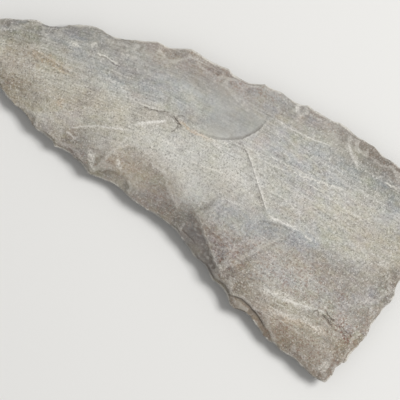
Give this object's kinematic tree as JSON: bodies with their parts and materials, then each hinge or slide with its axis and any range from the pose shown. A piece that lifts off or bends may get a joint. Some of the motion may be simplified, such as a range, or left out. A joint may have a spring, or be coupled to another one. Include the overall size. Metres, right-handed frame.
{
  "type": "chert knife blade",
  "caption": "Large triangular knife blade knapped on both faces from one piece of banded chert, with a pointed end, a bowed edge, a hollow edge and a squared butt.",
  "frame": {"origin": "centre of the blade's length and width, on the plane that it rests on", "axes": "+X from the point to the butt, +Y to the long bowed edge, +Z out of the shown face"},
  "size_m": [0.1558, 0.0686, 0.0106],
  "materials": {
    "banded_chert": "matte weathered chert, fine speckle, grey and tan bands"
  },
  "bodies": {
    "root": {"chert_blade": "banded_chert"}
  },
  "joints": []
}
